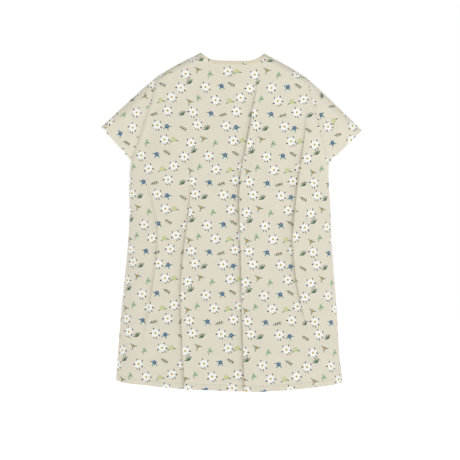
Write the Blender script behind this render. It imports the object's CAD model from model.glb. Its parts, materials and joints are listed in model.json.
"""A patient gown hanging as on an invisible hanger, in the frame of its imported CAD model."""
import json
import math

import bpy
import numpy as np
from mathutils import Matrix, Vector, noise


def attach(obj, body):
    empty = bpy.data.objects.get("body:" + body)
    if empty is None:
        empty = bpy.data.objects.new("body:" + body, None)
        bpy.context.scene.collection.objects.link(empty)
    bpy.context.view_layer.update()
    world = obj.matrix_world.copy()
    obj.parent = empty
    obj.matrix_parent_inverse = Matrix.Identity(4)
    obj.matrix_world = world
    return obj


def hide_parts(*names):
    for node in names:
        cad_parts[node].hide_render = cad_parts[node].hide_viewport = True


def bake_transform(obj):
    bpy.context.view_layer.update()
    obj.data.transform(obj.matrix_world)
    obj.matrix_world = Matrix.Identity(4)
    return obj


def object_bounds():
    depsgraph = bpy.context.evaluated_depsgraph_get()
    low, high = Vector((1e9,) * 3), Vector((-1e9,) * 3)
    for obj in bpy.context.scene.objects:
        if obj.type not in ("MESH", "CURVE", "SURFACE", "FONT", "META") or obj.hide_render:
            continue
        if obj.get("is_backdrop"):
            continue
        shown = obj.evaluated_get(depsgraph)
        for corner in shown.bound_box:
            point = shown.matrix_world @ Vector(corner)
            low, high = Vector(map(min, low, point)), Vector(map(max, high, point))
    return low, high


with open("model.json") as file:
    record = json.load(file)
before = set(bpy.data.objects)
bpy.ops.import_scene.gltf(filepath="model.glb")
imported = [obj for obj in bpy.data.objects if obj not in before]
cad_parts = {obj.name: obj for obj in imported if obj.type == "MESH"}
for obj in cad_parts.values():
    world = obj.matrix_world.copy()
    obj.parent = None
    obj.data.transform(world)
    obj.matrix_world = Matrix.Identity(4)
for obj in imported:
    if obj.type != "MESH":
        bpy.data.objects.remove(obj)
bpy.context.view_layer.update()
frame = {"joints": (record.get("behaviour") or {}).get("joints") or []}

# ---- Dimensions in metres: the CAD model's, but for the sleeve, 7 mm longer to fit its outline ----

NECK_HALF, BACK_NECK_DROP, BACK_NECK_POWER, FRONT_NECK_DROP = 0.102, 0.029, 4.5, 0.090
SHOULDER_HALF, SHOULDER_DROP, SHOULDER_ARCH = 0.238, 0.071, 0.025
UNDERARM_HALF, UNDERARM_DROP = 0.320, 0.349
HEM_HALF, HEM_SIDE_DROP, HEM_CENTRE_DROP = 0.361, 1.046, 1.080
FRONT_DEPTH, BACK_DEPTH = (0.034, 0.084), (0.030, 0.074)
FOLD_NECK_HALF, FOLD_HEM_HALF = 0.091, 0.236
OVERLAP_HALF, UNDERLAP_INSET = 0.025, 0.0066
BINDING_WIDTH, FACING_HALF = 0.012, 0.0245
SLEEVE_LENGTH, SLEEVE_ANGLE, SLEEVE_TUCK = 0.249, math.radians(43.5), math.radians(28)
SNAP_DROPS = [0.128 + 0.155 * i for i in range(6)]

CLOTH = 0.0006            # thickness of one layer
USUAL_HALF = 0.34         # the body's half width about halfway down
BODY_ROWS = 128           # rows of a body panel's grid above its hem
HEM_ROW = BODY_ROWS + 4   # the row on the hem's stitches
HEM_DEPTH = 0.020         # the turned-up hem
TOP = np.array([SHOULDER_HALF, -SHOULDER_DROP])
UNDERARM = np.array([UNDERARM_HALF, -UNDERARM_DROP])
REACH = float(np.linalg.norm(UNDERARM - TOP)) - 0.004


def clamp01(x):
    return np.clip(x, 0, 1)


def smooth(x, low, high):
    t = clamp01((x - low) / (high - low))
    return t * t * (3 - 2 * t)


def lerp(a, b, t):
    return a + (b - a) * t


def bump(x, centre, reach):
    """A smooth hump, 1 at its centre, that fades over about twice its reach."""
    return np.exp(-((x - centre) / reach) ** 2)


# ---- The gown's surfaces ----

def hem_z(x):
    return -lerp(HEM_CENTRE_DROP, HEM_SIDE_DROP, np.minimum(1, (x / HEM_HALF) ** 2))


def half_width(z):
    return lerp(UNDERARM_HALF, HEM_HALF, clamp01((-z - UNDERARM_DROP) / (HEM_SIDE_DROP - UNDERARM_DROP)))


def fold_line(z):
    return FOLD_NECK_HALF + (FOLD_HEM_HALF - FOLD_NECK_HALF) * -z / HEM_CENTRE_DROP


def shoulder_rise(x, z):
    seam = -SHOULDER_DROP * (np.abs(x) - NECK_HALF) / (SHOULDER_HALF - NECK_HALF)
    return np.sqrt(np.maximum(0, 1 - (1 - clamp01((seam - z) / SHOULDER_ARCH)) ** 2))


def across_front(x, z):
    return clamp01((np.abs(x) - fold_line(z)) / (half_width(z) - fold_line(z)))


def front_y(x, z):
    depth = lerp(*FRONT_DEPTH, -z / HEM_CENTRE_DROP)
    return depth * np.sqrt(1 - across_front(x, z) ** 2.4) * shoulder_rise(x, z)


def back_y(x, z):
    across = np.minimum(1, np.abs(x) / half_width(z))
    depth = lerp(*BACK_DEPTH, -z / HEM_CENTRE_DROP)
    return -depth * np.sqrt(1 - across ** 4) * shoulder_rise(x, z)


def side_length(x, z, front):
    """How much longer the cloth is than x, as it rounds to the side seam."""
    nodes, weights = np.polynomial.legendre.leggauss(12)
    start = fold_line(z) if front else 0 * z
    wide = half_width(z) - start
    depth = lerp(*(FRONT_DEPTH if front else BACK_DEPTH), -z / HEM_CENTRE_DROP)
    power = 2.4 if front else 4.0
    end = clamp01((np.abs(x) - start) / wide)
    top = 1 - np.sqrt(1 - end * 0.9999)
    total = np.zeros_like(x)
    for n, w in zip(nodes, weights):
        tau = top * (n + 1) / 2
        t = 1 - (1 - tau) ** 2
        slope = depth / wide * power / 2 * t ** (power - 1) / np.sqrt(np.maximum(1 - t ** power, 1e-9))
        total += w * (np.sqrt(1 + slope ** 2) - 1) * 2 * (1 - tau)
    return np.sign(x) * total * top / 2 * wide


def field(x, z, across, along, seed):
    """Smooth noise from -1 to 1, with features of those sizes across and along the cloth."""
    out = np.zeros(x.shape)
    flat = out.reshape(-1)
    for i, (a, b) in enumerate(zip(x.reshape(-1), z.reshape(-1))):
        flat[i] = noise.noise(Vector((a / across, b / along, seed)))
    return out


# ---- Outlines ----

def back_neck(s):
    x = NECK_HALF * np.sin(s * math.pi / 2)
    return np.array([x, -BACK_NECK_DROP * (1 - abs(x / NECK_HALF) ** BACK_NECK_POWER)])


def front_neck(s):
    a = s * math.pi / 2
    return np.array([NECK_HALF * np.sin(a), -FRONT_NECK_DROP * np.cos(a)])


def beside_neck(neck, s, width):
    step = 0.01
    along = neck(min(1, s + step)) - neck(max(-1, s - step))
    along /= np.linalg.norm(along)
    outward = np.array([along[1], -along[0]])
    shoulder = np.array([np.sign(s) * (SHOULDER_HALF - NECK_HALF), -SHOULDER_DROP])
    shoulder /= np.linalg.norm(shoulder)
    outward = lerp(outward, shoulder, float(smooth(abs(s), 0.7, 1)))
    return neck(s) + outward / np.linalg.norm(outward) * width


def top_z(x, neck):
    """The upper edge of a body panel: the neck, under its binding, then the shoulder and armhole."""
    s = np.linspace(0, 1, 200)
    edge = np.array([beside_neck(neck, t, 0.35 * BINDING_WIDTH) for t in s])
    x = np.abs(x)
    shoulder = -SHOULDER_DROP * (x - NECK_HALF) / (SHOULDER_HALF - NECK_HALF)
    armhole = TOP[1] + (UNDERARM[1] - TOP[1]) * (x - TOP[0]) / (UNDERARM[0] - TOP[0])
    neck_z = np.interp(x, edge[:, 0], edge[:, 1])
    return np.where(x < edge[-1, 0], neck_z, np.where(x < TOP[0], shoulder, armhole))


# ---- Meshes ----

def normals_of(p, tube=False):
    """Unit normals of a grid of points, as (rows, columns, 3)."""
    if tube:
        across = np.roll(p, -1, 1) - np.roll(p, 1, 1)
    else:
        across = np.gradient(p, axis=1)
    down = np.gradient(p, axis=0)
    n = np.cross(across, down)
    return n / np.maximum(np.linalg.norm(n, axis=2, keepdims=True), 1e-12)


def grid_quads(rows, cols, closed=False):
    """A grid's faces. A closed grid joins its last column to its first."""
    r, c = np.meshgrid(np.arange(rows - 1), np.arange(cols if closed else cols - 1), indexing="ij")
    c1 = (c + 1) % cols
    corners = [r * cols + c, r * cols + c1, (r + 1) * cols + c1, (r + 1) * cols + c]
    return np.stack(corners, -1).reshape(-1, 4)


class Build:
    """Gathers grids and small solids into one mesh, with the cloth's flat coordinates in millimetres."""

    def __init__(self):
        self.points, self.flat, self.faces, self.mats = [], [], [], []
        self.count = 0

    def put(self, points, flat):
        start = self.count
        self.points.append(points.reshape(-1, 3))
        self.flat.append(flat.reshape(-1, 3))
        self.count += len(self.points[-1])
        return start

    def cloth(self, p, uv, out, thick=CLOTH, tube=False):
        """A sheet of cloth with its outside at p. out says which way is outside."""
        n = normals_of(p, tube)
        facing = np.sum(n * out, axis=2).mean()
        if facing < 0:
            n = -n
        rows, cols = p.shape[:2]
        flat = np.concatenate([uv, np.zeros((rows, cols, 1))], 2)
        inner_flat = flat.copy()
        inner_flat[:, :, 2] = 1
        thick = np.broadcast_to(np.asarray(thick, float), (rows, cols))[:, :, None]
        a = self.put(p, flat)
        b = self.put(p - n * thick, inner_flat)
        quad = grid_quads(rows, cols, tube)
        # np.cross(across, down) is outward when the quad runs across and then down
        flip = facing < 0
        outer, inner = a + quad, b + quad
        faces = [outer[:, ::-1] if flip else outer, inner if flip else inner[:, ::-1]]

        def rim(i, j, turn):
            q = np.stack([a + i, a + j, b + j, b + i], -1)
            faces.append(q if turn != flip else q[:, ::-1])
        k = np.arange(cols if tube else cols - 1)
        k1 = (k + 1) % cols
        rim(k, k1, False)
        rim((rows - 1) * cols + k, (rows - 1) * cols + k1, True)
        if not tube:
            k = np.arange(rows - 1)
            rim(k * cols, (k + 1) * cols, True)
            rim(k * cols + cols - 1, (k + 1) * cols + cols - 1, False)
        faces = np.concatenate(faces)
        self.faces.append(faces)
        self.mats.append(np.zeros(len(faces)))

    def strip(self, grid, flat):
        """A closed solid strip: a ring of points to each row, and a flat end at each end."""
        rows, cols = grid.shape[:2]
        start = self.put(grid, flat)
        quad = grid_quads(rows, cols, closed=True)
        flip = (normals_of(grid, True) * (grid - grid.mean(axis=1, keepdims=True))).sum() < 0
        self.faces.append(start + (quad[:, ::-1] if flip else quad))
        self.mats.append(np.zeros(len(quad)))
        for row, turned in ((0, flip), (rows - 1, not flip)):
            loop = start + row * cols + np.arange(cols)
            caps = np.array([[loop[i], loop[i + 1], loop[cols - 2 - i], loop[cols - 1 - i]]
                             for i in range(cols // 2 - 1)])
            self.faces.append(caps if turned else caps[:, ::-1])
            self.mats.append(np.zeros(len(caps)))

    def stitches(self, path, out, length=0.0028, gap=0.0007, width=0.00032):
        """Thread stitches along a path of points on the cloth."""
        path = np.asarray(path, float)
        out = np.broadcast_to(out, path.shape)
        along = np.concatenate([[0], np.cumsum(np.linalg.norm(np.diff(path, axis=0), axis=1))])
        starts = np.arange(gap, along[-1] - length, length + gap)
        ts = np.array([0.0, 0.2, 0.5, 0.8, 1.0])
        ring = 6
        pts, quads = [], []
        for i, s in enumerate(starts):
            at = s + ts * length
            centre = np.stack([np.interp(at, along, path[:, k]) for k in range(3)], 1)
            up = np.stack([np.interp(at, along, out[:, k]) for k in range(3)], 1)
            up /= np.linalg.norm(up, axis=1, keepdims=True)
            tangent = centre[-1] - centre[0]
            tangent /= np.linalg.norm(tangent)
            side = np.cross(tangent, up)
            side /= np.linalg.norm(side, axis=1, keepdims=True)
            lift = width * np.array([-0.8, 0.35, 0.55, 0.35, -0.8])[:, None]
            size = width * np.array([0.35, 0.9, 1.0, 0.9, 0.35])
            for j in range(len(ts)):
                for k in range(ring):
                    a = 2 * math.pi * k / ring
                    rise = lift[j] + 0.7 * size[j] * math.sin(a)
                    pts.append(centre[j] + up[j] * rise + side[j] * size[j] * math.cos(a))
            base = i * len(ts) * ring
            for j in range(len(ts) - 1):
                for k in range(ring):
                    quads.append([base + j * ring + k, base + j * ring + (k + 1) % ring,
                                  base + (j + 1) * ring + (k + 1) % ring, base + (j + 1) * ring + k])
            for j, turn in ((0, -1), (len(ts) - 1, 1)):
                loop = [base + j * ring + k for k in range(ring)][::turn]
                quads.append([loop[0], loop[1], loop[2], loop[3]])
                quads.append([loop[0], loop[3], loop[4], loop[5]])
        if not pts:
            return
        pts = np.array(pts)
        start = self.put(pts, np.concatenate([pts[:, [0, 2]] * 1000, np.zeros((len(pts), 1))], 1))
        quads = np.array(quads)
        self.faces.append(start + quads)
        self.mats.append(np.ones(len(quads)))

    def object(self, name, materials):
        points, flat = np.concatenate(self.points), np.concatenate(self.flat)
        faces, mats = np.concatenate(self.faces), np.concatenate(self.mats)
        mesh = bpy.data.meshes.new(name)
        mesh.from_pydata(points.tolist(), [], faces.tolist())
        attribute = mesh.attributes.new("cloth", "FLOAT_VECTOR", "POINT")
        attribute.data.foreach_set("vector", flat.astype(np.float32).ravel())
        for m in materials:
            mesh.materials.append(m)
        mesh.polygons.foreach_set("material_index", mats.astype(np.int32))
        mesh.polygons.foreach_set("use_smooth", np.ones(len(faces), bool))
        mesh.update()
        mesh.set_sharp_from_angle(angle=math.radians(62))
        o = bpy.data.objects.new(name, mesh)
        bpy.context.collection.objects.link(o)
        return o


# ---- Materials ----

def srgb(*c):
    c = np.array(c, float) / 255
    return tuple(np.where(c <= 0.04045, c / 12.92, ((c + 0.055) / 1.055) ** 2.4)) + (1.0,)


class Nodes:
    """Short calls for the nodes of one material."""

    def __init__(self, name):
        self.mat = bpy.data.materials.new(name)
        self.mat.use_nodes = True
        self.nt = self.mat.node_tree
        self.nt.nodes.clear()

    def new(self, kind, values=(), out=0, **props):
        n = self.nt.nodes.new(kind)
        for k, v in props.items():
            setattr(n, k, v)
        for i, v in (values.items() if isinstance(values, dict) else enumerate(values)):
            if v is None:
                continue
            if isinstance(v, bpy.types.NodeSocket):
                self.nt.links.new(v, n.inputs[i])
            else:
                n.inputs[i].default_value = v
        return n.outputs[out] if len(n.outputs) else n

    def math(self, op, *values, clamp=False):
        return self.new("ShaderNodeMath", values, operation=op, use_clamp=clamp)

    def vec(self, op, *values):
        return self.new("ShaderNodeVectorMath", values, operation=op)

    def length(self, v):
        return self.new("ShaderNodeVectorMath", [v], out=1, operation="LENGTH")

    def ramp(self, v, low, high, to_low=0.0, to_high=1.0, smooth=True):
        return self.new("ShaderNodeMapRange", [v, low, high, to_low, to_high],
                        interpolation_type="SMOOTHSTEP" if smooth else "LINEAR")

    def mix(self, fac, a, b):
        return self.new("ShaderNodeMix", {0: fac, 6: a, 7: b}, out=2, data_type="RGBA")

    def noise(self, v, scale, detail=2.0, rough=0.5):
        values = {"Vector": v, "Scale": scale, "Detail": detail, "Roughness": rough}
        return self.new("ShaderNodeTexNoise", values)

    def blob(self, p, centre, radii, edge=0.12):
        """1 inside an ellipse."""
        q = self.vec("MULTIPLY", self.vec("SUBTRACT", p, (*centre, 0)), (1 / radii[0], 1 / radii[1], 0))
        return self.ramp(self.length(q), 1 + edge, 1 - edge)

    def stroke(self, p, a, b, width, edge=0.35):
        """1 on a short round-ended stroke from a to b."""
        run = (b[0] - a[0], b[1] - a[1], 0)
        pa = self.vec("SUBTRACT", p, (*a, 0))
        dot = self.new("ShaderNodeVectorMath", [pa, run], out=1, operation="DOT_PRODUCT")
        h = self.math("MULTIPLY", dot, 1 / (run[0] ** 2 + run[1] ** 2), clamp=True)
        near = self.new("ShaderNodeVectorMath", {0: run, 3: h}, operation="SCALE")
        d = self.length(self.vec("SUBTRACT", pa, near))
        return self.ramp(d, width / 2 + edge, width / 2 - edge)

    def components(self, v):
        parts = self.nt.nodes.new("ShaderNodeSeparateXYZ")
        self.nt.links.new(v, parts.inputs[0])
        return parts.outputs

    def nearest(self, uv, places):
        """Coordinates in the nearest of a motif's places in the tile: each is (x, y, turn in degrees)."""
        best = None
        for x, y, turn in places:
            p = self.vec("WRAP", self.vec("SUBTRACT", uv, (x, y, 0)), (TILE[0] / 2, TILE[1] / 2, 1),
                         (-TILE[0] / 2, -TILE[1] / 2, -1))
            if turn:
                p = self.new("ShaderNodeVectorRotate", {"Vector": p, "Angle": math.radians(-turn)},
                             rotation_type="Z_AXIS")
            if best is None:
                best = p
            else:
                closer = self.math("LESS_THAN", self.length(p), self.length(best))
                best = self.new("ShaderNodeMix", {0: closer, 4: best, 5: p}, out=1, data_type="VECTOR")
        return best


TILE = (220.0, 220.0)   # the print's repeat, in mm
CELLS = 5               # motifs across and down one repeat
NUDGE, MOST_TURN = 7.5, 32   # how far a motif is moved, in mm, and turned, in degrees
WHITE, DARK = srgb(236, 238, 236), srgb(38, 33, 30)
GROUND = srgb(217, 211, 194)
YELLOW, OCHRE = srgb(226, 204, 116), srgb(138, 110, 56)
LEAF, DEEP, PALE, MIST = srgb(104, 136, 104), srgb(70, 102, 80), srgb(166, 186, 152), srgb(188, 198, 152)
BLUE, TEAL = srgb(44, 86, 136), srgb(96, 146, 138)
TWIG = srgb(70, 62, 54)


def motif_places(kind, every=1, first=0):
    """Where one kind of motif falls in a repeat: a brick lattice, nudged and turned by rule."""
    cell = TILE[0] / CELLS
    cells = [(i, j) for j in range(CELLS) for i in range(CELLS) if (i + 2 * j) % CELLS == kind]
    places = []
    for i, j in cells[first::every]:
        k = i + CELLS * j
        x = (i + 0.5 * (j % 2)) * cell + NUDGE * math.sin(2.4 * k)
        y = (j + 0.5) * cell + NUDGE * math.cos(3.7 * k)
        places.append((x, y, MOST_TURN * math.sin(1.7 * k)))
    return places


def print_colour(n, uv):
    """The all-over print: blossoms, sprigs, small blooms, clovers and leafy twigs, tossed on cream."""
    colour = GROUND

    def paint(mask, paint_colour):
        nonlocal colour
        colour = n.mix(mask, colour, paint_colour)

    def leaves(p, angles, near, far, width, paint_colour):
        """Straight leaves that spread from a motif's middle, at angles in degrees."""
        for angle in angles:
            c, s = math.cos(math.radians(angle)), math.sin(math.radians(angle))
            paint(n.stroke(p, (near * c, near * s), (far * c, far * s), width), paint_colour)

    def blossom(p, petals, radius, wave, paint_colour, eye):
        """A lobed disc with a round eye."""
        x, y, _ = n.components(p)
        lobes = n.math("COSINE", n.math("MULTIPLY", n.math("ARCTAN2", y, x), petals))
        edge = n.math("MULTIPLY_ADD", lobes, wave, radius)
        paint(n.ramp(n.math("SUBTRACT", edge, n.length(p)), -0.4, 0.4), paint_colour)
        paint(n.blob(p, (0, 0), (0.33 * radius, 0.33 * radius), 0.2), eye)

    # white blossoms over dark sepals and a short stem
    for kind in (0, 2):
        p = n.nearest(uv, motif_places(kind))
        leaves(p, range(40, 400, 72), 11, 16, 3.6, DARK)
        leaves(p, (-75,), 10, 19, 2.4, DEEP)
        blossom(p, 7, 12.2, 1.7, WHITE, YELLOW)
        paint(n.blob(p, (0, 0), (2, 2), 0.35), OCHRE)
    # sprigs of five leaves
    leaves(n.nearest(uv, motif_places(1, 2)), range(30, 180, 30), 2, 13, 3.0, DEEP)
    # pale blooms on two leaves
    p = n.nearest(uv, motif_places(1, 2, 1))
    leaves(p, (210, 330), 4, 14, 3.4, LEAF)
    blossom(p, 5, 7.5, 1.2, MIST, YELLOW)
    # blue flowers on three leaves
    p = n.nearest(uv, motif_places(3, 2))
    leaves(p, (200, 270, 340), 5, 13, 3.2, TEAL)
    blossom(p, 6, 6.4, 1.2, BLUE, PALE)
    # small ochre blooms
    p = n.nearest(uv, motif_places(3, 2, 1))
    leaves(p, (20, 160, 270), 3, 12, 3.0, TEAL)
    blossom(p, 4, 4.8, 1.2, OCHRE, YELLOW)
    # clovers
    p = n.nearest(uv, motif_places(4, 2, 1))
    leaves(p, (270,), 4, 13, 2.0, LEAF)
    blossom(p, 3, 7.5, 2.6, PALE, LEAF)
    # short twigs with paired leaves
    p = n.nearest(uv, motif_places(4, 2))
    paint(n.stroke(p, (-13, 0), (12, 0), 1.8), TWIG)
    for x in (-8, -1, 6):
        paint(n.stroke(p, (x, 0), (x + 4, 4.5), 2.2), DARK)
        paint(n.stroke(p, (x, 0), (x + 4, -4.5), 2.2), LEAF)
    return colour


def cotton(name, tint=(255, 255, 255), printed=True):
    n = Nodes(name)
    attribute = n.new("ShaderNodeAttribute", out=1, attribute_name="cloth")
    u, v, inside = n.components(attribute)
    # the ink bleeds a little into the weave
    wobble = n.new("ShaderNodeTexNoise", {"Vector": attribute, "Scale": 0.55, "Detail": 1.0}, out=1)
    shift = n.vec("MULTIPLY", n.vec("SUBTRACT", wobble, (0.5, 0.5, 0.5)), (1.6, 1.6, 0))
    uv = n.vec("ADD", n.vec("MULTIPLY", attribute, (1, 1, 0)), shift)
    base = print_colour(n, uv) if printed else GROUND
    # the reverse of the cloth shows the print faintly
    base = n.mix(n.math("MULTIPLY", inside, 0.62), base, srgb(229, 223, 209))
    # slubs and yarn shade
    slub = n.noise(n.vec("MULTIPLY", attribute, (0.05, 1.1, 1)), 1.0, 2.0)
    slub2 = n.noise(n.vec("MULTIPLY", attribute, (1.1, 0.05, 1)), 1.0, 2.0)
    cloud = n.noise(attribute, 0.018, 3.0, 0.55)
    shade = n.math("ADD", n.math("ADD", n.ramp(slub, 0.3, 0.7, -0.022, 0.022, False),
                                 n.ramp(slub2, 0.3, 0.7, -0.022, 0.022, False)),
                   n.ramp(cloud, 0.3, 0.7, -0.02, 0.02, False))
    shade = n.math("ADD", shade, 1.0)
    tinted = n.new("ShaderNodeMix", {0: 1.0, 6: base, 7: srgb(*tint)}, out=2,
                   data_type="RGBA", blend_type="MULTIPLY")
    colour = n.new("ShaderNodeVectorMath", {0: tinted, 3: shade}, operation="SCALE")
    # plain weave: warp and weft of 0.55 mm
    pitch = 2 * math.pi / 1.1
    warp = n.math("SINE", n.math("MULTIPLY", u, pitch))
    weft = n.math("SINE", n.math("MULTIPLY", v, pitch))
    weave = n.math("ADD", n.math("MULTIPLY", n.math("MULTIPLY", warp, weft), 0.6),
                   n.math("MULTIPLY", n.math("ADD", n.math("ABSOLUTE", warp), n.math("ABSOLUTE", weft)), 0.4))
    crumple = n.noise(attribute, 0.12, 3.0, 0.6)
    bump = n.new("ShaderNodeBump", {"Strength": 0.35, "Distance": 0.00012, "Height": weave})
    bump = n.new("ShaderNodeBump", {"Strength": 0.30, "Distance": 0.0009, "Height": crumple, "Normal": bump})
    rough = n.ramp(weave, -0.6, 1.2, 0.94, 0.82, False)
    shader = n.new("ShaderNodeBsdfPrincipled", {
        "Base Color": colour, "Roughness": rough, "Normal": bump, "Specular IOR Level": 0.22,
        "Sheen Weight": 0.18, "Sheen Roughness": 0.55, "Sheen Tint": (1, 1, 1, 1)})
    n.new("ShaderNodeOutputMaterial", [shader])
    return n.mat


def thread(name, colour):
    n = Nodes(name)
    place = n.new("ShaderNodeNewGeometry")
    twist = n.new("ShaderNodeTexNoise", {"Vector": place, "Scale": 900.0, "Detail": 2.0})
    tone = n.mix(n.ramp(twist, 0.35, 0.65), colour, srgb(206, 196, 174))
    bump = n.new("ShaderNodeBump", {"Strength": 0.4, "Distance": 0.0001, "Height": twist})
    shader = n.new("ShaderNodeBsdfPrincipled", {"Base Color": tone, "Roughness": 0.7, "Normal": bump,
                                                "Sheen Weight": 0.1})
    n.new("ShaderNodeOutputMaterial", [shader])
    return n.mat


def resin(name):
    n = Nodes(name)
    place = n.new("ShaderNodeNewGeometry")
    flow = n.new("ShaderNodeTexNoise", {"Vector": place, "Scale": 420.0, "Detail": 3.0})
    fine = n.new("ShaderNodeTexNoise", {"Vector": place, "Scale": 3200.0, "Detail": 2.0})
    tone = n.mix(n.ramp(flow, 0.35, 0.65), srgb(236, 229, 212), srgb(226, 217, 197))
    rough = n.ramp(flow, 0.3, 0.7, 0.30, 0.42, False)
    bump = n.new("ShaderNodeBump", {"Strength": 0.25, "Distance": 0.00005, "Height": fine})
    shader = n.new("ShaderNodeBsdfPrincipled", {"Base Color": tone, "Roughness": rough, "Normal": bump,
                                                "Coat Weight": 0.12, "Coat Roughness": 0.3})
    n.new("ShaderNodeOutputMaterial", [shader])
    return n.mat


PRINTED = cotton("printed_cotton")
BOUND = cotton("binding_cotton", tint=(250, 247, 240))
TAPE = cotton("stay_tape_cotton", tint=(252, 252, 250), printed=False)
THREAD = thread("sewing_thread", srgb(236, 228, 208))
RESIN = resin("snap_resin")


# ---- Folds of the hanging cloth ----

def through(points, at):
    """A smooth curve through a few (drop, x) points, level beyond its ends."""
    drop, x = np.array(points, float).T
    slope = np.gradient(x, drop)
    at = np.clip(at, drop[0], drop[-1])
    i = np.clip(np.searchsorted(drop, at) - 1, 0, len(drop) - 2)
    run = drop[i + 1] - drop[i]
    t = (at - drop[i]) / run
    return ((2 * t ** 3 - 3 * t ** 2 + 1) * x[i] + (t ** 3 - 2 * t ** 2 + t) * run * slope[i]
            + (3 * t ** 2 - 2 * t ** 3) * x[i + 1] + (t ** 3 - t ** 2) * run * slope[i + 1])


class Fold:
    """A soft pleat that runs down the cloth. track is [(drop, x), ...]; the cloth laps over itself by
    lap, sinks by sink on its low side, and its strength along the drop is given by [(drop, share), ...]."""

    def __init__(self, track, strength, width, lap, sink, low_side=1, tail=0.05, steers=True):
        self.steers = steers    # whether the columns of the mesh follow it
        self.track, self.strength = np.array(track), np.array(strength)
        self.width, self.lap, self.sink, self.low_side, self.tail = width, lap, sink, low_side, tail

    def x(self, z):
        return through(self.track, -z)

    def mirrored(self):
        track = [(drop, -x) for drop, x in self.track]
        return Fold(track, self.strength, self.width, self.lap, self.sink, -self.low_side, self.tail)

    def share(self, z):
        s = np.interp(-z, self.strength[:, 0], self.strength[:, 1])
        return s * s * (3 - 2 * s)

    def offset(self, x, z):
        """How far the cloth goes sideways and inward at x, z."""
        t = (x - self.x(z)) / self.width
        k = self.share(z)
        h = t * np.exp(-t * t / 2)
        side = -self.lap * k * h
        q = t * self.low_side
        step = 1 / (1 + np.exp(-2.4 * q)) * np.exp(-np.maximum(0, q) * self.width / self.tail)
        ridge = 0.35 * bump(q, -1.2, 1.6)
        inward = self.sink * k * (step - ridge)
        return side, inward


def cloth_lengths(p):
    """Distance along each row of points, from its first."""
    d = np.linalg.norm(np.diff(p, axis=1), axis=2)
    return np.concatenate([np.zeros((len(p), 1)), np.cumsum(d, axis=1)], 1)


PLEAT = [(0.05, 0.085), (0.25, 0.065), (0.45, 0.040), (0.70, 0.045), (1.08, 0.060)]
BACK_FOLDS = [
    Fold([(0.35, -0.285), (0.55, -0.235), (0.75, -0.245), (0.95, -0.280)],
         [(0.34, 0), (0.46, 0.7), (0.60, 1), (0.80, 0.9), (0.98, 0)], 0.008, 0.010, 0.0070, low_side=-1),
    Fold([(0.20, -0.120), (0.45, -0.125), (0.70, -0.150), (1.08, -0.135)],
         [(0.20, 0), (0.40, 0.4), (0.60, 1), (1.08, 1)], 0.007, 0.014, 0.0088, low_side=-1),
    # the deepest pleat, and the soft crease beside it
    Fold(PLEAT, [(0.05, 0), (0.16, 0.6), (0.28, 1), (1.08, 1)], 0.0055, 0.023, 0.0100, low_side=-1),
    Fold([(drop, x + 0.019) for drop, x in PLEAT],
         [(0.05, 0), (0.20, 0.6), (0.36, 1), (0.80, 0.8), (1.08, 0.5)],
         0.006, 0.004, -0.0040, low_side=1, tail=0.012, steers=False),
    Fold([(0.10, 0.240), (0.35, 0.230), (0.62, 0.205), (0.80, 0.230), (0.98, 0.275)],
         [(0.12, 0), (0.22, 0.5), (0.36, 0.9), (0.66, 1), (0.80, 0.7), (0.98, 0)],
         0.008, 0.015, 0.0125, low_side=-1),
    Fold([(0.42, 0.310), (0.60, 0.255)],
         [(0.42, 0), (0.48, 0.7), (0.54, 0.8), (0.60, 0)], 0.011, 0.006, 0.0045, low_side=-1, steers=False),
]
FRONT_FOLDS = {
    1: [Fold([(0.10, 0.175), (0.50, 0.205), (1.08, 0.255)],
             [(0.12, 0), (0.4, 0.8), (1.08, 1)], 0.014, 0.014, 0.006, low_side=1),
        Fold([(0.30, 0.085), (1.08, 0.110)],
             [(0.30, 0), (0.6, 0.7), (1.08, 1)], 0.014, 0.010, 0.005, low_side=-1)],
    -1: [Fold([(0.10, 0.170), (0.50, 0.190), (1.08, 0.235)],
              [(0.12, 0), (0.4, 0.8), (1.08, 1)], 0.013, 0.013, 0.006, low_side=-1),
         Fold([(0.35, 0.290), (1.00, 0.318)],
              [(0.35, 0), (0.6, 0.7), (1.00, 0.6)], 0.011, 0.010, 0.005, low_side=1)],
}


def column_spread(folds, count, low, high):
    """Places from low to high (as shares of the width), packed closer at the folds and at the sides."""
    share = np.linspace(low, high, 4001)
    density = np.ones_like(share)
    for f in folds:
        mid = np.mean(f.track[:, 1]) / USUAL_HALF
        density += 2.6 * np.exp(-(((share - mid) * USUAL_HALF) / (2.0 * f.width)) ** 2)
    for end in (-1, 1):
        if low <= end <= high:
            density += 1.6 * bump(share, end, 0.04)
    total = np.concatenate([[0], np.cumsum((density[1:] + density[:-1]) / 2)])
    return np.interp(np.linspace(0, total[-1], count), total, share)


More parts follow.
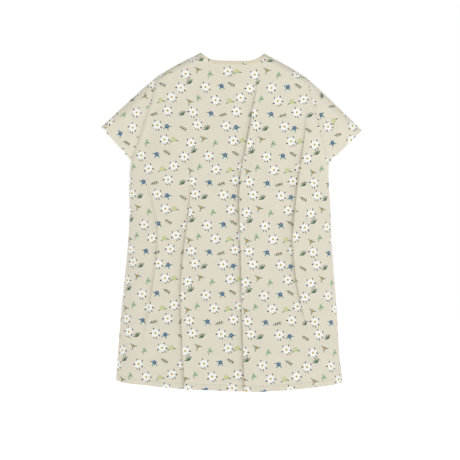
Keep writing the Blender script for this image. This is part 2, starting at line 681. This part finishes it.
def body_grid(neck, low, high, folds, columns):
    """x and z of a body panel's grid, before folds. Columns follow the folds down the cloth."""
    share = column_spread(folds, columns, low, high)
    keys = sorted((f for f in folds if f.steers), key=lambda f: np.mean(f.track[:, 1]))
    middle = [np.mean(f.track[:, 1]) / USUAL_HALF for f in keys]

    def column_x(z):
        """x of each column at its own z."""
        knots = np.array([-half_width(z)] + [f.x(z) for f in keys] + [half_width(z)])
        out = np.empty_like(share)
        for i, s in enumerate(share):
            out[i] = np.interp(s, [-1.0] + middle + [1.0], knots[:, i])
        return out

    # where each column meets the top edge and the hem
    top = np.full(columns, -0.05)
    for _ in range(60):
        top = lerp(top, np.clip(top_z(column_x(top), neck), -UNDERARM_DROP, 0), 0.6)
    hem = np.full(columns, -1.06)
    for _ in range(8):
        hem = hem_z(column_x(hem))
    v = np.linspace(0, 1, BODY_ROWS) ** 1.55
    # the hem has rows of its own, at these heights over its edge
    above = np.array([0.030, 0.025, 0.0225, 0.021, 0.020, 0.019, 0.0175, 0.014, 0.009, 0.004, 0.0015, 0.0])
    z = np.concatenate([lerp(top[None], (hem + 0.036)[None], v[:, None]), hem[None] + above[:, None]])
    x = np.stack([column_x(row) for row in z])
    return x, z, top, hem


def hem_relief(z, hem, u):
    """The stitched hem: a shallow dent along the stitches, small puckers, and a double layer under it."""
    up = z - hem[None]
    line = bump(up, HEM_DEPTH, 0.0022)
    below = smooth(up, 0.028, 0.018)
    pucker = np.sin(u * 2 * math.pi / 0.017 + 1.5 * np.sin(u * 31)) * 0.5 + 0.5
    return 0.0009 * line - 0.0005 * below * (1 - line) * pucker, smooth(up, 0.0215, 0.0195) * CLOTH


def armhole_distance(x, z):
    """How far a point is from the armhole's line, and its share of the way along it."""
    d = UNDERARM - TOP
    d = d / np.linalg.norm(d)
    rel_x, rel_z = np.abs(x) - TOP[0], z - TOP[1]
    along = rel_x * d[0] + rel_z * d[1]
    away = rel_z * d[0] - rel_x * d[1]
    total = float(np.linalg.norm(UNDERARM - TOP))
    return np.abs(away), clamp01(along / total)


def wrinkles(x, z, seed, calm):
    """Displacement of the cloth from its smooth shape. calm is 0 where the cloth is held still."""
    drop = -z
    broad = field(x, z, 0.085, 0.75, seed) * lerp(0.0015, 0.0065, smooth(drop, 0.15, 1.0))
    side = smooth(np.abs(x), 0.12, 0.30)
    pull = field(x + 0.5 * z * np.sign(x), z, 0.045, 0.16, seed + 7) * 0.0022 * side
    pull = pull * smooth(drop, 0.05, 0.2) * (1 - 0.6 * smooth(drop, 0.5, 0.8))
    medium = field(x, z, 0.032, 0.10, seed + 13) * 0.0009
    small = field(x, z, 0.011, 0.016, seed + 21) * 0.00028
    return (broad + pull + medium) * calm + small * lerp(0.4, 1, calm)


def hang(p, body=True):
    """The gown's small unevenness, fitted to its outline. Only the body has a skirt."""
    p = p.copy()
    x, z = p[..., 0].copy(), p[..., 2].copy()
    p[..., 0] += -0.006 * bump(-z, 0.40, 0.09)
    # rounder shoulder points
    p[..., 2] -= 0.0045 * bump(np.abs(x), SHOULDER_HALF, 0.034) * smooth(z, -0.20, -0.07)
    if body:
        skirt = smooth(-z, 0.85, 1.06)
        p[..., 2] += 0.006 * bump(x, -0.05, 0.14) * skirt
        p[..., 2] -= (0.004 * smooth(x, 0.25, 0.36) + 0.007 * smooth(-x, 0.24, 0.35)) * skirt
        p[..., 0] += 0.007 * smooth(x, 0.20, 0.36) * smooth(-z, 0.95, 1.06)
    return p


def body_panel(neck, front, low, high, folds, columns, seed, underlap=False):
    """The points, flat coordinates and thickness of the back or of one front."""
    x, z, top, hem = body_grid(neck, low, high, folds, columns)
    base = front_y(x, z) if front else back_y(x, z)
    if underlap:
        base = base - UNDERLAP_INSET * smooth(x, -fold_line(z), -1.3 * OVERLAP_HALF)
    outward = 1.0 if front else -1.0
    # calm near seams, the neck and the front edges
    seam = smooth(half_width(z) - np.abs(x), 0.0, 0.05)
    upper = smooth(top[None] - z, 0.0, 0.10)
    calm = seam * upper
    if front:
        calm = calm * smooth(np.abs(x), 0.034, 0.075)
    push = wrinkles(x, z, seed, calm)
    dx = np.zeros_like(x)
    for f in folds:
        side, inward = f.offset(x, z)
        dx += side
        push -= inward
    relief, double = hem_relief(z, hem, x)
    push -= relief
    # the cloth turns in to the sleeve at the armhole
    away, along = armhole_distance(x, z)
    near_armhole = (z > -UNDERARM_DROP) & (z < -SHOULDER_DROP)
    held = near_armhole * np.sin(math.pi * clamp01(along)) ** 0.5
    turn_in = 0.0075 * bump(away, 0, 0.006) * held
    puff = 0.0026 * bump(away, 0.014, 0.009) * held
    push += puff - turn_in
    # never through the side or shoulder seam's plane
    y = base + outward * push * np.clip(np.abs(base) / 0.012, 0, 1)
    slim = -np.sign(x) * 0.008 * (np.abs(x) / half_width(z)) ** 2 * bump(-z, 0.60, 0.2)
    p = hang(np.stack([x + dx + slim, y, z], -1))
    # flat coordinates: along the cloth from its middle, and down it
    extra = side_length(x, z, front)
    u = x + extra
    for f in folds:
        t = np.linspace(-6, 6, 241)
        # the length of cloth that the pleat takes up
        stretch = np.abs(1 - f.lap / f.width * (1 - t * t) * np.exp(-t * t / 2)) - 1
        gain = np.cumsum(stretch) * (t[1] - t[0]) * f.width
        gain -= gain[len(t) // 2]
        u = u + np.interp((x - f.x(z)) / f.width, t, gain) * f.share(z)
    # over the shoulder, the cloth's length runs on round the arch
    seam_z = -SHOULDER_DROP * (np.abs(x) - NECK_HALF) / (SHOULDER_HALF - NECK_HALF)
    rise = clamp01((seam_z - z) / SHOULDER_ARCH)
    v = z + 0.018 * (1 - rise) ** 2 * (np.abs(x) > 0.09)
    uv = np.stack([-u if front else u, v], -1) * 1000
    return p, uv, CLOTH + double


def facing_out(p, out, tube=False):
    """Normals of a grid of points, on the side that out is on."""
    n = normals_of(p, tube)
    return n if (n * out).sum(2).mean() > 0 else -n


# ---- Back panel ----

OUT_BACK, OUT_FRONT = np.array([0, -1.0, 0]), np.array([0, 1.0, 0])

p, uv, thick = body_panel(back_neck, False, -1, 1, BACK_FOLDS, 236, 3.0)
b = Build()
b.cloth(p, uv, OUT_BACK, thick)
b.stitches(p[HEM_ROW], facing_out(p, OUT_BACK)[HEM_ROW])
back = b.object("gown_back", [PRINTED, THREAD])
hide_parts("back_panel")
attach(back, "gown_body")

# ---- Fronts ----

joints = {j["name"]: j for j in frame["joints"]}


def fold_planes(hand, spread=0.020):
    """Two points either side of a front's fold, for blend: the body's side first."""
    j = joints["right_front_fold" if hand > 0 else "left_front_fold"]
    pos, axis = Vector(j["pos_m"]), Vector(j["axis"])
    across = axis.cross(Vector((0, 1, 0))).normalized()
    if across.x * hand < 0:
        across.negate()
    return pos + across * spread, pos - across * spread


for hand, name, seed in ((1, "right", 31.0), (-1, "left", 47.0)):
    folds = FRONT_FOLDS[hand]
    if hand < 0:
        folds = [f.mirrored() for f in folds]
    edge = OVERLAP_HALF / USUAL_HALF
    low, high = (-edge, 1) if hand > 0 else (-1, edge)
    p, uv, thick = body_panel(front_neck, True, low, high, folds, 132, seed, underlap=hand < 0)
    # the front edge is straight and vertical
    edge_col = 0 if hand > 0 else p.shape[1] - 1
    drift = (-hand * OVERLAP_HALF - p[:, edge_col, 0])[:, None]
    near = np.exp(-np.abs(p[:, :, 0] - p[:, edge_col, 0][:, None]) / 0.03)
    p[:, :, 0] += drift * near
    b = Build()
    b.cloth(p, uv + np.array([37.0 + 60 * hand, 51.0]), OUT_FRONT, thick)
    b.stitches(p[HEM_ROW], facing_out(p, OUT_FRONT)[HEM_ROW])
    o = b.object(f"gown_front_{name}", [PRINTED, THREAD])
    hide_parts(f"{name}_front_side", f"{name}_front_flap")
    fold_planes(hand)
    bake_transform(o)

# ---- Sleeves ----

def lens(radius, front):
    """The body's half depth at the armhole, at a distance from its top."""
    at = TOP + (UNDERARM - TOP) / np.linalg.norm(UNDERARM - TOP) * np.asarray(radius)[..., None]
    return front_y(at[..., 0], at[..., 1]) if front else -back_y(at[..., 0], at[..., 1])


def sleeve(hand, name, seed):
    """One sleeve: a flattened tube, from its hem in to the tucked cloth behind the armhole."""
    ROWS, HALF, HEM_LINE = 64, 44, 0.083
    hem_angle = SLEEVE_ANGLE + math.acos(SLEEVE_LENGTH / REACH)
    # rows from the hem inward, close together round the hem's stitches
    near_hem = [0, 0.0012, 0.006, 0.02, 0.04, 0.06, 0.072, 0.079, HEM_LINE, 0.087, 0.094, 0.105]
    tau = np.concatenate([near_hem, np.linspace(0.12, 1, ROWS)])
    f = (1 - np.cos(np.pi * np.linspace(0, 1, HALF))) / 2
    f = 0.75 * f + 0.25 * np.linspace(0, 1, HALF)
    radius = lerp(SLEEVE_LENGTH, 0.004, tau)
    top = np.stack([np.cos(SLEEVE_ANGLE) * radius, -np.sin(SLEEVE_ANGLE) * radius], -1)
    angle = hem_angle + SLEEVE_TUCK * tau
    bottom = REACH * np.stack([np.cos(angle), -np.sin(angle)], -1)
    flat = top[:, None] + (bottom - top)[:, None] * f[None, :, None]
    rho = np.linalg.norm(flat, axis=2)
    theta = np.arctan2(-flat[..., 1], flat[..., 0])
    along_axis = flat[..., 0] * math.cos(SLEEVE_ANGLE) - flat[..., 1] * math.sin(SLEEVE_ANGLE)
    across_axis = rho * np.sin(np.clip(theta - SLEEVE_ANGLE, 0, None))
    round_over = np.minimum(0.034, 0.5 * rho + 0.002)
    cap = np.sqrt(1 - (1 - clamp01(across_axis / round_over)) ** 2)
    close = np.sqrt(clamp01((REACH - rho) / 0.018))
    halves = []
    for front in (False, True):
        y = np.maximum(0, lens(rho, front) - 0.0030) * cap * close
        w = field(along_axis, across_axis + (0.3 if front else 0), 0.05, 0.022, seed) * 0.0016
        w += field(along_axis, across_axis + (0.3 if front else 0), 0.012, 0.012, seed + 5) * 0.0003
        outside = smooth(SLEEVE_ANGLE + math.radians(24) - theta, -0.15, 0.15)
        y = np.maximum(0, y + w * smooth(y, 0.0, 0.008) * outside)
        line = np.exp(-((tau - HEM_LINE) * SLEEVE_LENGTH / 0.0016) ** 2)[:, None]
        y = np.maximum(0, y - 0.0008 * line * smooth(y, 0, 0.005))
        halves.append(y if front else -y)
    # ring: back from top fold to lower fold, then front back up
    x2 = np.concatenate([flat[..., 0], flat[:, -2:0:-1, 0]], 1) + TOP[0]
    z2 = np.concatenate([flat[..., 1], flat[:, -2:0:-1, 1]], 1) + TOP[1]
    y2 = np.concatenate([halves[0], halves[1][:, -2:0:-1]], 1)
    p = hang(np.stack([hand * x2, y2, z2], -1), body=False)
    # the cloth's own coordinates: round the tube from its upper fold, and along it
    back_side = p[:, :HALF]
    front_side = np.concatenate([p[:, :1], p[:, :HALF - 2:-1]], 1)
    round_back, round_front = cloth_lengths(back_side), cloth_lengths(front_side)
    u = np.concatenate([-round_back, round_front[:, -2:0:-1]], 1)
    v = -np.concatenate([along_axis, along_axis[:, -2:0:-1]], 1)
    uv = np.stack([u * hand, v], -1) * 1000
    centre = p.mean(axis=1, keepdims=True)
    out = p - centre
    b = Build()
    thick = (CLOTH + CLOTH * (tau < 0.085))[:, None]
    b.cloth(p, uv + np.array([70.0, 60.0 + 40 * hand]), out, thick, tube=True)
    row = near_hem.index(HEM_LINE)
    ring, ring_out = p[row], facing_out(p, out, True)[row]
    b.stitches(np.concatenate([ring, ring[:1]]), np.concatenate([ring_out, ring_out[:1]]))
    o = b.object(f"gown_sleeve_{name}", [PRINTED, THREAD])
    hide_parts(f"{name}_sleeve")
    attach(o, f"{name}_sleeve_tube")


sleeve(1, "right", 61.0)
sleeve(-1, "left", 83.0)

# ---- Neck binding ----

def binding(name, neck, surface, places, out):
    """A folded strip over a neck edge: an oval section, closed round, along the neck."""
    side = 1.0 if neck is front_neck else -1.0
    SECTION = 20
    turn = 2 * math.pi * np.arange(SECTION) / SECTION
    length = 0.0
    rows, uvs, last = [], [], None
    stitch = []
    for i, s in enumerate(places):
        ring = []
        half = BINDING_WIDTH / 2
        puck = 0.00015 * math.sin(i * 1.9) + 0.00012 * math.sin(i * 0.83)
        for a in turn:
            width = half + 0.0002 - (half + 0.0002) * np.sign(np.cos(a)) * abs(np.cos(a)) ** 0.8
            thick = (0.0009 + puck) * np.sign(np.sin(a)) * abs(np.sin(a)) ** 0.55
            at = beside_neck(neck, s, width)
            y = surface(np.float64(at[0]), np.float64(at[1]))
            y = side * max(0.0, side * float(y)) - side * CLOTH / 2 + thick
            ring.append([at[0], y, at[1]])
        ring = np.array(ring)
        # the two halves meet on the shoulder seam
        ring[:, 1] = side * np.maximum(0.0, side * ring[:, 1])
        middle = ring.mean(axis=0)
        if last is not None:
            length += np.linalg.norm(middle - last)
        last = middle
        rows.append(ring)
        reading = -length if side > 0 and places[0] < 0 else length
        uvs.append(np.stack([np.full(SECTION, reading), -BINDING_WIDTH / 2 * (1 - np.cos(turn))], -1))
        at = beside_neck(neck, s, BINDING_WIDTH - 0.0022)
        y = float(surface(np.float64(at[0]), np.float64(at[1])))
        stitch.append([at[0], side * max(0.0, side * y) + side * (0.00055 + puck), at[1]])
    uv = np.array(uvs) * 1000 + np.array([152.0, 176.0])
    b = Build()
    b.strip(np.array(rows), np.concatenate([uv, np.zeros((len(rows), SECTION, 1))], 2))
    b.stitches(stitch, out, length=0.0024)
    return b.object(name, [BOUND, THREAD])


places = np.sin(np.linspace(-1, 1, 121) * math.pi / 2)
places = 0.5 * places + 0.5 * np.linspace(-1, 1, 121)
o = binding("gown_neck_binding_back", back_neck, back_y, places, OUT_BACK)
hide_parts("back_neck_binding")
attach(o, "gown_body")


def left_y(x, z):
    return front_y(x, z) - UNDERLAP_INSET * smooth(x, -fold_line(z), -1.3 * OVERLAP_HALF)


edge_place = math.asin(OVERLAP_HALF / (NECK_HALF + BINDING_WIDTH * 0.7)) / (math.pi / 2)
for hand, name in ((1, "right"), (-1, "left")):
    s = np.linspace(1, -edge_place, 96) * hand
    o = binding(f"gown_neck_binding_{name}", front_neck, front_y if hand > 0 else left_y, s, OUT_FRONT)
    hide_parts(f"{name}_shoulder_binding", f"{name}_neck_binding")
    fold_planes(hand)
    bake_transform(o)

# ---- Facings ----

for hand, name, surface in ((1, "right", front_y), (-1, "left", left_y)):
    SECTION, ROWS = 28, 120
    z_top, z_low = -0.1035, -1.0795
    turn = 2 * math.pi * np.arange(SECTION) / SECTION
    cosx = np.sign(np.cos(turn)) * np.abs(np.cos(turn)) ** 0.5
    siny = np.sign(np.sin(turn)) * np.abs(np.sin(turn)) ** 0.45
    grid, flat = [], []
    for i in range(ROWS):
        z = lerp(z_top, z_low, i / (ROWS - 1))
        x = -hand * (OVERLAP_HALF - FACING_HALF) + cosx * FACING_HALF
        y = surface(np.zeros_like(x), np.full_like(x, z)) - 0.00172 + siny * 0.00098
        zz = np.full_like(x, z) + (0.0016 * (np.abs(x) / 0.025) ** 2 if i == 0 else 0)
        grid.append(np.stack([x, y, zz], -1))
        across = (cosx + (siny > 0)) * FACING_HALF * 1000
        flat.append(np.stack([across, np.full_like(x, z * 1000), siny < 0], -1))
    b = Build()
    b.strip(np.array(grid), np.array(flat))
    # stitched down along its free edge, with the stitches showing outside
    zs = np.linspace(z_top, z_low + 0.004, 300)
    for depth, out in ((-0.00002, OUT_FRONT), (0.0028, OUT_BACK)):
        for dx in (0.0465, 0.0030):
            xs = np.full_like(zs, -hand * OVERLAP_HALF + hand * dx)
            b.stitches(np.stack([xs, surface(np.zeros_like(xs), zs) - depth, zs], -1), out)
    o = b.object(f"gown_facing_{name}", [PRINTED, THREAD])
    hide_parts(f"{name}_front_facing")
    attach(o, f"{name}_front")

# ---- Shoulder stay tapes ----

for hand, name in ((1, "right"), (-1, "left")):
    slope = math.atan2(SHOULDER_DROP, SHOULDER_HALF - NECK_HALF)
    along = np.linspace(-0.056, 0.056, 60)
    across = np.linspace(-0.005, 0.005, 9)
    a, c = np.meshgrid(along, across, indexing="ij")
    bow = 0.00025 * np.sin(a * 210) + 0.0002 * np.cos(c * 900)
    mid = np.array([hand * (NECK_HALF + SHOULDER_HALF) / 2, -SHOULDER_DROP / 2])
    down = 0.0044
    x = mid[0] + hand * (a * math.cos(slope) - (down + bow) * math.sin(slope))
    z = mid[1] - a * math.sin(slope) - (down + bow) * math.cos(slope)
    p = np.stack([x, c, z], -1)
    b = Build()
    b.cloth(p, np.stack([c, a], -1) * 1000, np.array([hand * math.sin(slope), 0, math.cos(slope)]), 0.0012)
    for edge in (1, 7):
        b.stitches(p[:, edge] + np.array([0, 0, -0.0013]), np.array([0, 0, -1.0]))
    o = b.object(f"shoulder_tape_{name}", [TAPE, THREAD])
    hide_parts(f"{name}_shoulder_tape")
    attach(o, "gown_body")

# ---- The cut cloth: each sheet's flat size, and the strips sewn to it ----

# ---- Snaps ----

TILT = math.atan((FRONT_DEPTH[1] - FRONT_DEPTH[0]) / HEM_CENTRE_DROP)


def lathe(outline, segments=40):
    """A solid of revolution about Y. Its (radius, height) points end on the axis, or form a loop."""
    outline = np.array(outline) / 1000
    closed = np.allclose(outline[0], outline[-1])
    if closed:
        outline = outline[:-1]
    turn = 2 * math.pi * np.arange(segments) / segments
    pts, faces, index = [], [], []
    for r, h in outline:
        if r < 1e-9:
            index.append([len(pts)] * segments)
            pts.append((0, h, 0))
        else:
            index.append(list(range(len(pts), len(pts) + segments)))
            pts += [(r * math.cos(t), h, r * math.sin(t)) for t in turn]
    pairs = list(zip(index, index[1:])) + ([(index[-1], index[0])] if closed else [])
    for low, high in pairs:
        for k in range(segments):
            k1 = (k + 1) % segments
            face = [low[k], low[k1], high[k1], high[k]]
            faces.append(list(dict.fromkeys(face)))
    return pts, [f[::-1] for f in faces if len(f) > 2]


def arc(cx, cy, r, start, end, steps=5):
    return [(cx + r * math.cos(math.radians(lerp(start, end, i / steps))),
             cy + r * math.sin(math.radians(lerp(start, end, i / steps)))) for i in range(steps + 1)]


POST_END = -3.48
cap_outline = ([(0, POST_END), (1.1, POST_END), (1.1, -0.1), (1.3, 0.0), (5.4, 0.0)]
               + arc(5.65, 0.35, 0.35, -90, 40)
               + [(5.2, 0.82), (4.4, 1.0), (3.9, 1.02), (3.5, 0.92), (3.1, 0.93)]
               + [(2.2, 1.15), (1.2, 1.27), (0, 1.3)])
socket_outline = ([(1.5, 0), (1.5, -0.8), (2.6, -0.8), (2.6, -1.9)] + arc(2.9, -1.9, 0.3, 180, 270)
                  + arc(4.3, -1.8, 0.4, -90, -10) + [(4.9, -0.9)] + arc(4.9, -0.3, 0.3, -60, 90) + [(1.5, 0)])
stud_outline = ([(1.5, 0)] + arc(4.9, 0.3, 0.3, -90, 60)
                + [(4.2, 0.8), (2.6, 0.8), (2.25, 0.95), (2.05, 1.15), (2.2, 1.5)]
                + arc(1.95, 1.55, 0.25, 0, 90) + [(1.5, 1.8), (1.5, 0)])
meshes = {}
for kind, outline in (("cap", cap_outline), ("socket", socket_outline), ("stud", stud_outline)):
    pts, faces = lathe(outline)
    mesh = bpy.data.meshes.new(f"snap_{kind}_form")
    mesh.from_pydata(pts, [], faces)
    mesh.polygons.foreach_set("use_smooth", np.ones(len(faces), bool))
    mesh.materials.append(RESIN)
    mesh.update()
    mesh.set_sharp_from_angle(angle=math.radians(50))
    meshes[kind] = mesh

# kind, form, mm behind the right front's surface, whether it faces in, and what it rides on
for kind, form, depth, inward, body in (("cap", "cap", -0.3, False, "right_front"),
                                        ("socket", "socket", 3.0, False, "right_front"),
                                        ("stud", "stud", 6.3, False, "left_front"),
                                        ("back", "cap", 9.6, True, "left_front")):
    for i, drop in enumerate(SNAP_DROPS, 1):
        o = bpy.data.objects.new(f"snap_{kind}_detail_{i}", meshes[form].copy())
        bpy.context.collection.objects.link(o)
        y = float(front_y(np.float64(0), np.float64(-drop)))
        o.location = (0, y - math.cos(TILT) * depth / 1000, -drop - math.sin(TILT) * depth / 1000)
        o.rotation_euler = (TILT + (math.pi if inward else 0), 0, 0)
        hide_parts(f"snap_{kind}_{i}")
        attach(o, body)

# ---- Camera, light and floor ----

camera = bpy.data.objects.new("camera", bpy.data.cameras.new("camera"))
bpy.context.collection.objects.link(camera)
camera.data.lens, camera.data.sensor_width = 85, 36
camera.location = (-0.0006, -3.49, -0.568)
camera.rotation_euler = (math.radians(90), math.radians(-0.75), 0)
bpy.context.scene.camera = camera
bpy.context.scene.view_settings.view_transform = "Standard"


def area(name, place, aim, size, power):
    """A round soft lamp."""
    lamp = bpy.data.lights.new(name, "AREA")
    lamp.shape, lamp.size, lamp.energy = "DISK", size, power
    o = bpy.data.objects.new(name, lamp)
    bpy.context.collection.objects.link(o)
    o.location = place
    o.rotation_euler = (Vector(aim) - Vector(place)).to_track_quat("-Z", "Y").to_euler()


area("key", (1.9, -2.4, 0.4), (0, 0, -0.5), 0.8, 14)
area("fill", (-2.4, -2.4, 0.4), (0, 0, -0.45), 2.2, 5)
area("key_beyond", (-1.9, 2.4, 0.4), (0, 0, -0.5), 0.8, 14)
area("fill_beyond", (2.4, 2.4, 0.4), (0, 0, -0.45), 2.2, 5)

world = bpy.data.worlds.new("studio")
bpy.context.scene.world = world
world.use_nodes = True
nt = world.node_tree
background = nt.nodes["Background"]
background.inputs["Color"].default_value = (1, 1, 1, 1)
# a white surround that is dimmer overhead and underfoot
coords, parts = nt.nodes.new("ShaderNodeTexCoord"), nt.nodes.new("ShaderNodeSeparateXYZ")
steep, dim = nt.nodes.new("ShaderNodeMath"), nt.nodes.new("ShaderNodeMapRange")
steep.operation = "ABSOLUTE"
nt.links.new(coords.outputs["Generated"], parts.inputs[0])
nt.links.new(parts.outputs[2], steep.inputs[0])
nt.links.new(steep.outputs[0], dim.inputs[0])
for i, value in enumerate((0.25, 0.65, 1.0, 0.42)):
    dim.inputs[i + 1].default_value = value
nt.links.new(dim.outputs[0], background.inputs["Strength"])

# well below the hem, so that it leaves the gown open to view from below
FLOOR_REACH, FLOOR_HEIGHT = 30, -3.2
floor_nodes = Nodes("studio_floor")
floor_tone = floor_nodes.noise(floor_nodes.new("ShaderNodeNewGeometry"), 0.6, 2.0)
pale, paler = (0.93, 0.93, 0.93, 1), (0.96, 0.96, 0.96, 1)
floor_colour = floor_nodes.mix(floor_nodes.ramp(floor_tone, 0.3, 0.7), pale, paler)
shader = floor_nodes.new("ShaderNodeBsdfPrincipled", {
    "Base Color": floor_colour, "Roughness": 0.9, "Emission Color": (1, 1, 1, 1), "Emission Strength": 0.62})
floor_nodes.new("ShaderNodeOutputMaterial", [shader])
mesh = bpy.data.meshes.new("floor")
corners = [(x * FLOOR_REACH, y * FLOOR_REACH, FLOOR_HEIGHT) for x, y in ((-1, -1), (1, -1), (1, 1), (-1, 1))]
mesh.from_pydata(corners, [], [(0, 1, 2, 3)])
mesh.materials.append(floor_nodes.mat)
floor = bpy.data.objects.new("floor", mesh)
bpy.context.collection.objects.link(floor)
floor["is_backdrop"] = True

low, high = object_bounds()
